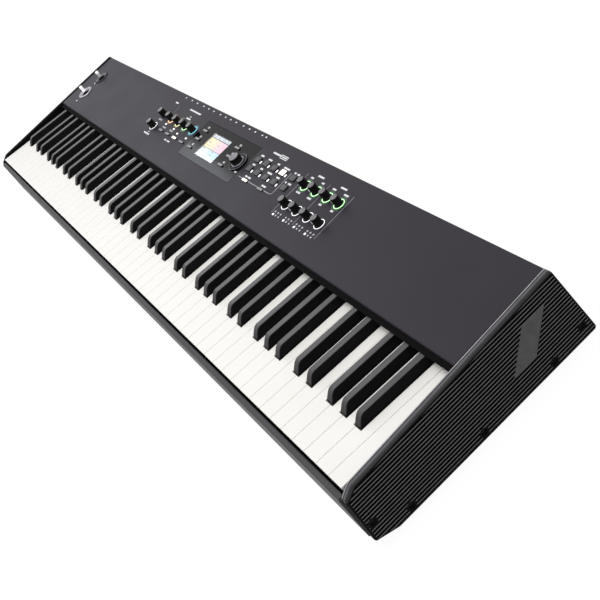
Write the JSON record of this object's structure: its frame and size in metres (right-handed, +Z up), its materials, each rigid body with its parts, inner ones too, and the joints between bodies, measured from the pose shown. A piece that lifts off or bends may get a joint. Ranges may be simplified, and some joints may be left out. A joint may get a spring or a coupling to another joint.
{
  "type": "stage piano",
  "caption": "Slab-shaped weighted-key stage piano: sloping control panel with knobs, buttons and display, ribbed end cheeks, rear sockets.",
  "frame": {"origin": "on the surface under the feet, below the middle of the case's bounding box", "axes": "+X along the keys towards the treble, +Y from the player to the back, +Z up"},
  "size_m": [1.246, 0.2902, 0.1097],
  "materials": {
    "ivory": "fine satin key top",
    "ebony": "matt black",
    "panel": "satin dark grey paint",
    "cheek": "ribbed matt black",
    "rail": "satin charcoal",
    "frame": "moulded black",
    "foot": "matt rubber",
    "felt": "wool felt",
    "board": "solder resist",
    "window": "gloss black acrylic",
    "screen": "lit screen",
    "collar": "dark satin metal",
    "yoke": "brushed",
    "stick": "satin silver",
    "socket": "black moulding",
    "switch": "black moulding",
    "button": "matt rubberised",
    "knob": "soft matt black"
  },
  "bodies": {
    "case": {"top_panel": "panel", "display_window": "window", "display_module": "screen", "control_board": "board", "pitch_stick_housing": "collar", "mod_stick_housing": "collar", "key_frame": "frame", "key_rest_felt": "felt", "key_contact_board": "board", "bottom_plate": "frame", "front_rail": "rail", "foot_front_left": "foot", "foot_rear_left": "foot", "foot_front_right": "foot", "foot_rear_right": "foot", "right_cheek": "cheek", "left_cheek": "cheek", "main_board": "board", "jack_board": "socket", "rear_panel": "panel"},
    "natural_keys_1": {"natural_keys_1": "ivory"},
    "sharp_keys_1": {"sharp_keys_1": "ebony"},
    "natural_keys_2": {"natural_keys_2": "ivory"},
    "sharp_keys_2": {"sharp_keys_2": "ebony"},
    "natural_keys_3": {"natural_keys_3": "ivory"},
    "sharp_keys_3": {"sharp_keys_3": "ebony"},
    "natural_keys_4": {"natural_keys_4": "ivory"},
    "sharp_keys_4": {"sharp_keys_4": "ebony"},
    "natural_keys_5": {"natural_keys_5": "ivory"},
    "sharp_keys_5": {"sharp_keys_5": "ebony"},
    "natural_keys_6": {"natural_keys_6": "ivory"},
    "sharp_keys_6": {"sharp_keys_6": "ebony"},
    "natural_keys_7": {"natural_keys_7": "ivory"},
    "sharp_keys_7": {"sharp_keys_7": "ebony"},
    "master_volume_knob": {"master_volume_knob": "knob"},
    "headphone_volume_knob": {"headphone_volume_knob": "knob"},
    "zone_knob_1": {"zone_knob_1": "knob"},
    "effect_rear_knob_1": {"effect_rear_knob_1": "knob"},
    "effect_front_knob_1": {"effect_front_knob_1": "knob"},
    "zone_knob_2": {"zone_knob_2": "knob"},
    "effect_rear_knob_2": {"effect_rear_knob_2": "knob"},
    "effect_front_knob_2": {"effect_front_knob_2": "knob"},
    "zone_knob_3": {"zone_knob_3": "knob"},
    "effect_rear_knob_3": {"effect_rear_knob_3": "knob"},
    "effect_front_knob_3": {"effect_front_knob_3": "knob"},
    "zone_knob_4": {"zone_knob_4": "knob"},
    "effect_rear_knob_4": {"effect_rear_knob_4": "knob"},
    "effect_front_knob_4": {"effect_front_knob_4": "knob"},
    "data_dial": {"data_dial": "knob"},
    "zone_buttons": {"zone_buttons": "button"},
    "display_buttons_left": {"display_buttons_left": "button"},
    "display_buttons_right": {"display_buttons_right": "button"},
    "sound_buttons": {"sound_buttons": "button"},
    "select_buttons": {"select_buttons": "button"},
    "side_buttons": {"side_buttons": "button"},
    "pitch_stick_yoke": {"pitch_stick_yoke": "yoke"},
    "pitch_stick_lever": {"pitch_stick_lever": "stick"},
    "mod_stick_yoke": {"mod_stick_yoke": "yoke"},
    "mod_stick_lever": {"mod_stick_lever": "stick"},
    "power_switch": {"power_switch": "switch"}
  },
  "joints": [
    {"name": "natural_keys_1_press", "type": "hinge", "parent": "case", "child": "natural_keys_1", "pos_m": [0, 0.0799, 0.056], "axis": [1, 0, 0], "range_deg": [0, 2.65], "stiffness_Nm_per_rad": 6, "springref_deg": -11.46},
    {"name": "sharp_keys_1_press", "type": "hinge", "parent": "case", "child": "sharp_keys_1", "pos_m": [0, 0.0949, 0.056], "axis": [1, 0, 0], "range_deg": [0, 3], "stiffness_Nm_per_rad": 4, "springref_deg": -11.46},
    {"name": "natural_keys_2_press", "type": "hinge", "parent": "case", "child": "natural_keys_2", "pos_m": [0, 0.0799, 0.056], "axis": [1, 0, 0], "range_deg": [0, 2.65], "stiffness_Nm_per_rad": 6, "springref_deg": -11.46},
    {"name": "sharp_keys_2_press", "type": "hinge", "parent": "case", "child": "sharp_keys_2", "pos_m": [0, 0.0949, 0.056], "axis": [1, 0, 0], "range_deg": [0, 3], "stiffness_Nm_per_rad": 4, "springref_deg": -11.46},
    {"name": "natural_keys_3_press", "type": "hinge", "parent": "case", "child": "natural_keys_3", "pos_m": [0, 0.0799, 0.056], "axis": [1, 0, 0], "range_deg": [0, 2.65], "stiffness_Nm_per_rad": 6, "springref_deg": -11.46},
    {"name": "sharp_keys_3_press", "type": "hinge", "parent": "case", "child": "sharp_keys_3", "pos_m": [0, 0.0949, 0.056], "axis": [1, 0, 0], "range_deg": [0, 3], "stiffness_Nm_per_rad": 4, "springref_deg": -11.46},
    {"name": "natural_keys_4_press", "type": "hinge", "parent": "case", "child": "natural_keys_4", "pos_m": [0, 0.0799, 0.056], "axis": [1, 0, 0], "range_deg": [0, 2.65], "stiffness_Nm_per_rad": 6, "springref_deg": -11.46},
    {"name": "sharp_keys_4_press", "type": "hinge", "parent": "case", "child": "sharp_keys_4", "pos_m": [0, 0.0949, 0.056], "axis": [1, 0, 0], "range_deg": [0, 3], "stiffness_Nm_per_rad": 4, "springref_deg": -11.46},
    {"name": "natural_keys_5_press", "type": "hinge", "parent": "case", "child": "natural_keys_5", "pos_m": [0, 0.0799, 0.056], "axis": [1, 0, 0], "range_deg": [0, 2.65], "stiffness_Nm_per_rad": 6, "springref_deg": -11.46},
    {"name": "sharp_keys_5_press", "type": "hinge", "parent": "case", "child": "sharp_keys_5", "pos_m": [0, 0.0949, 0.056], "axis": [1, 0, 0], "range_deg": [0, 3], "stiffness_Nm_per_rad": 4, "springref_deg": -11.46},
    {"name": "natural_keys_6_press", "type": "hinge", "parent": "case", "child": "natural_keys_6", "pos_m": [0, 0.0799, 0.056], "axis": [1, 0, 0], "range_deg": [0, 2.65], "stiffness_Nm_per_rad": 6, "springref_deg": -11.46},
    {"name": "sharp_keys_6_press", "type": "hinge", "parent": "case", "child": "sharp_keys_6", "pos_m": [0, 0.0949, 0.056], "axis": [1, 0, 0], "range_deg": [0, 3], "stiffness_Nm_per_rad": 4, "springref_deg": -11.46},
    {"name": "natural_keys_7_press", "type": "hinge", "parent": "case", "child": "natural_keys_7", "pos_m": [0, 0.0799, 0.056], "axis": [1, 0, 0], "range_deg": [0, 2.65], "stiffness_Nm_per_rad": 6, "springref_deg": -11.46},
    {"name": "sharp_keys_7_press", "type": "hinge", "parent": "case", "child": "sharp_keys_7", "pos_m": [0, 0.0949, 0.056], "axis": [1, 0, 0], "range_deg": [0, 3], "stiffness_Nm_per_rad": 4, "springref_deg": -11.46},
    {"name": "master_volume_knob_turn", "type": "hinge", "parent": "case", "child": "master_volume_knob", "pos_m": [-0.246, 0.06012, 0.09299], "axis": [0, -0.0583, 0.9983], "range_deg": [-150, 150]},
    {"name": "headphone_volume_knob_turn", "type": "hinge", "parent": "case", "child": "headphone_volume_knob", "pos_m": [-0.246, 0.08468, 0.09442], "axis": [0, -0.0583, 0.9983], "range_deg": [-150, 150]},
    {"name": "zone_knob_1_turn", "type": "hinge", "parent": "case", "child": "zone_knob_1", "pos_m": [-0.214, 0.08478, 0.09443], "axis": [0, -0.0583, 0.9983], "continuous": true},
    {"name": "effect_rear_knob_1_turn", "type": "hinge", "parent": "case", "child": "effect_rear_knob_1", "pos_m": [0.2092, 0.09256, 0.09488], "axis": [0, -0.0583, 0.9983], "continuous": true},
    {"name": "effect_front_knob_1_turn", "type": "hinge", "parent": "case", "child": "effect_front_knob_1", "pos_m": [0.2092, 0.05962, 0.09296], "axis": [0, -0.0583, 0.9983], "continuous": true},
    {"name": "zone_knob_2_turn", "type": "hinge", "parent": "case", "child": "zone_knob_2", "pos_m": [-0.1866, 0.08478, 0.09443], "axis": [0, -0.0583, 0.9983], "continuous": true},
    {"name": "effect_rear_knob_2_turn", "type": "hinge", "parent": "case", "child": "effect_rear_knob_2", "pos_m": [0.2366, 0.09256, 0.09488], "axis": [0, -0.0583, 0.9983], "continuous": true},
    {"name": "effect_front_knob_2_turn", "type": "hinge", "parent": "case", "child": "effect_front_knob_2", "pos_m": [0.2366, 0.05962, 0.09296], "axis": [0, -0.0583, 0.9983], "continuous": true},
    {"name": "zone_knob_3_turn", "type": "hinge", "parent": "case", "child": "zone_knob_3", "pos_m": [-0.1592, 0.08478, 0.09443], "axis": [0, -0.0583, 0.9983], "continuous": true},
    {"name": "effect_rear_knob_3_turn", "type": "hinge", "parent": "case", "child": "effect_rear_knob_3", "pos_m": [0.264, 0.09256, 0.09488], "axis": [0, -0.0583, 0.9983], "continuous": true},
    {"name": "effect_front_knob_3_turn", "type": "hinge", "parent": "case", "child": "effect_front_knob_3", "pos_m": [0.264, 0.05962, 0.09296], "axis": [0, -0.0583, 0.9983], "continuous": true},
    {"name": "zone_knob_4_turn", "type": "hinge", "parent": "case", "child": "zone_knob_4", "pos_m": [-0.1318, 0.08478, 0.09443], "axis": [0, -0.0583, 0.9983], "continuous": true},
    {"name": "effect_rear_knob_4_turn", "type": "hinge", "parent": "case", "child": "effect_rear_knob_4", "pos_m": [0.2914, 0.09256, 0.09488], "axis": [0, -0.0583, 0.9983], "continuous": true},
    {"name": "effect_front_knob_4_turn", "type": "hinge", "parent": "case", "child": "effect_front_knob_4", "pos_m": [0.2914, 0.05962, 0.09296], "axis": [0, -0.0583, 0.9983], "continuous": true},
    {"name": "data_dial_turn", "type": "hinge", "parent": "case", "child": "data_dial", "pos_m": [0.0424, 0.07629, 0.09394], "axis": [0, -0.0583, 0.9983], "continuous": true},
    {"name": "zone_buttons_press", "type": "slide", "parent": "case", "child": "zone_buttons", "axis": [0, -0.0583, 0.9983], "range_m": [-0.001, 0], "stiffness_N_per_m": 300, "springref_m": 0.002},
    {"name": "display_buttons_left_press", "type": "slide", "parent": "case", "child": "display_buttons_left", "axis": [0, -0.0583, 0.9983], "range_m": [-0.001, 0], "stiffness_N_per_m": 300, "springref_m": 0.002},
    {"name": "display_buttons_right_press", "type": "slide", "parent": "case", "child": "display_buttons_right", "axis": [0, -0.0583, 0.9983], "range_m": [-0.001, 0], "stiffness_N_per_m": 300, "springref_m": 0.002},
    {"name": "sound_buttons_press", "type": "slide", "parent": "case", "child": "sound_buttons", "axis": [0, -0.0583, 0.9983], "range_m": [-0.001, 0], "stiffness_N_per_m": 300, "springref_m": 0.002},
    {"name": "select_buttons_press", "type": "slide", "parent": "case", "child": "select_buttons", "axis": [0, -0.0583, 0.9983], "range_m": [-0.001, 0], "stiffness_N_per_m": 300, "springref_m": 0.002},
    {"name": "side_buttons_press", "type": "slide", "parent": "case", "child": "side_buttons", "axis": [0, -0.0583, 0.9983], "range_m": [-0.001, 0], "stiffness_N_per_m": 300, "springref_m": 0.002},
    {"name": "pitch_stick_yoke_tilt", "type": "hinge", "parent": "case", "child": "pitch_stick_yoke", "pos_m": [-0.569, 0.04954, 0.08536], "axis": [1, 0, 0], "range_deg": [-22, 22], "stiffness_Nm_per_rad": 0.02},
    {"name": "pitch_stick_lever_tilt", "type": "hinge", "parent": "pitch_stick_yoke", "child": "pitch_stick_lever", "pos_m": [-0.569, 0.04954, 0.08536], "axis": [0, 0.9983, 0.0583], "range_deg": [-22, 22], "stiffness_Nm_per_rad": 0.02},
    {"name": "mod_stick_yoke_tilt", "type": "hinge", "parent": "case", "child": "mod_stick_yoke", "pos_m": [-0.569, 0.08868, 0.08765], "axis": [1, 0, 0], "range_deg": [-22, 22], "stiffness_Nm_per_rad": 0.02},
    {"name": "mod_stick_lever_tilt", "type": "hinge", "parent": "mod_stick_yoke", "child": "mod_stick_lever", "pos_m": [-0.569, 0.08868, 0.08765], "axis": [0, 0.9983, 0.0583], "range_deg": [-22, 22], "stiffness_Nm_per_rad": 0.02},
    {"name": "power_switch_rock", "type": "hinge", "parent": "case", "child": "power_switch", "pos_m": [0.04852, 0.1249, 0.036], "axis": [1, 0, 0], "range_deg": [0, 14]}
  ]
}
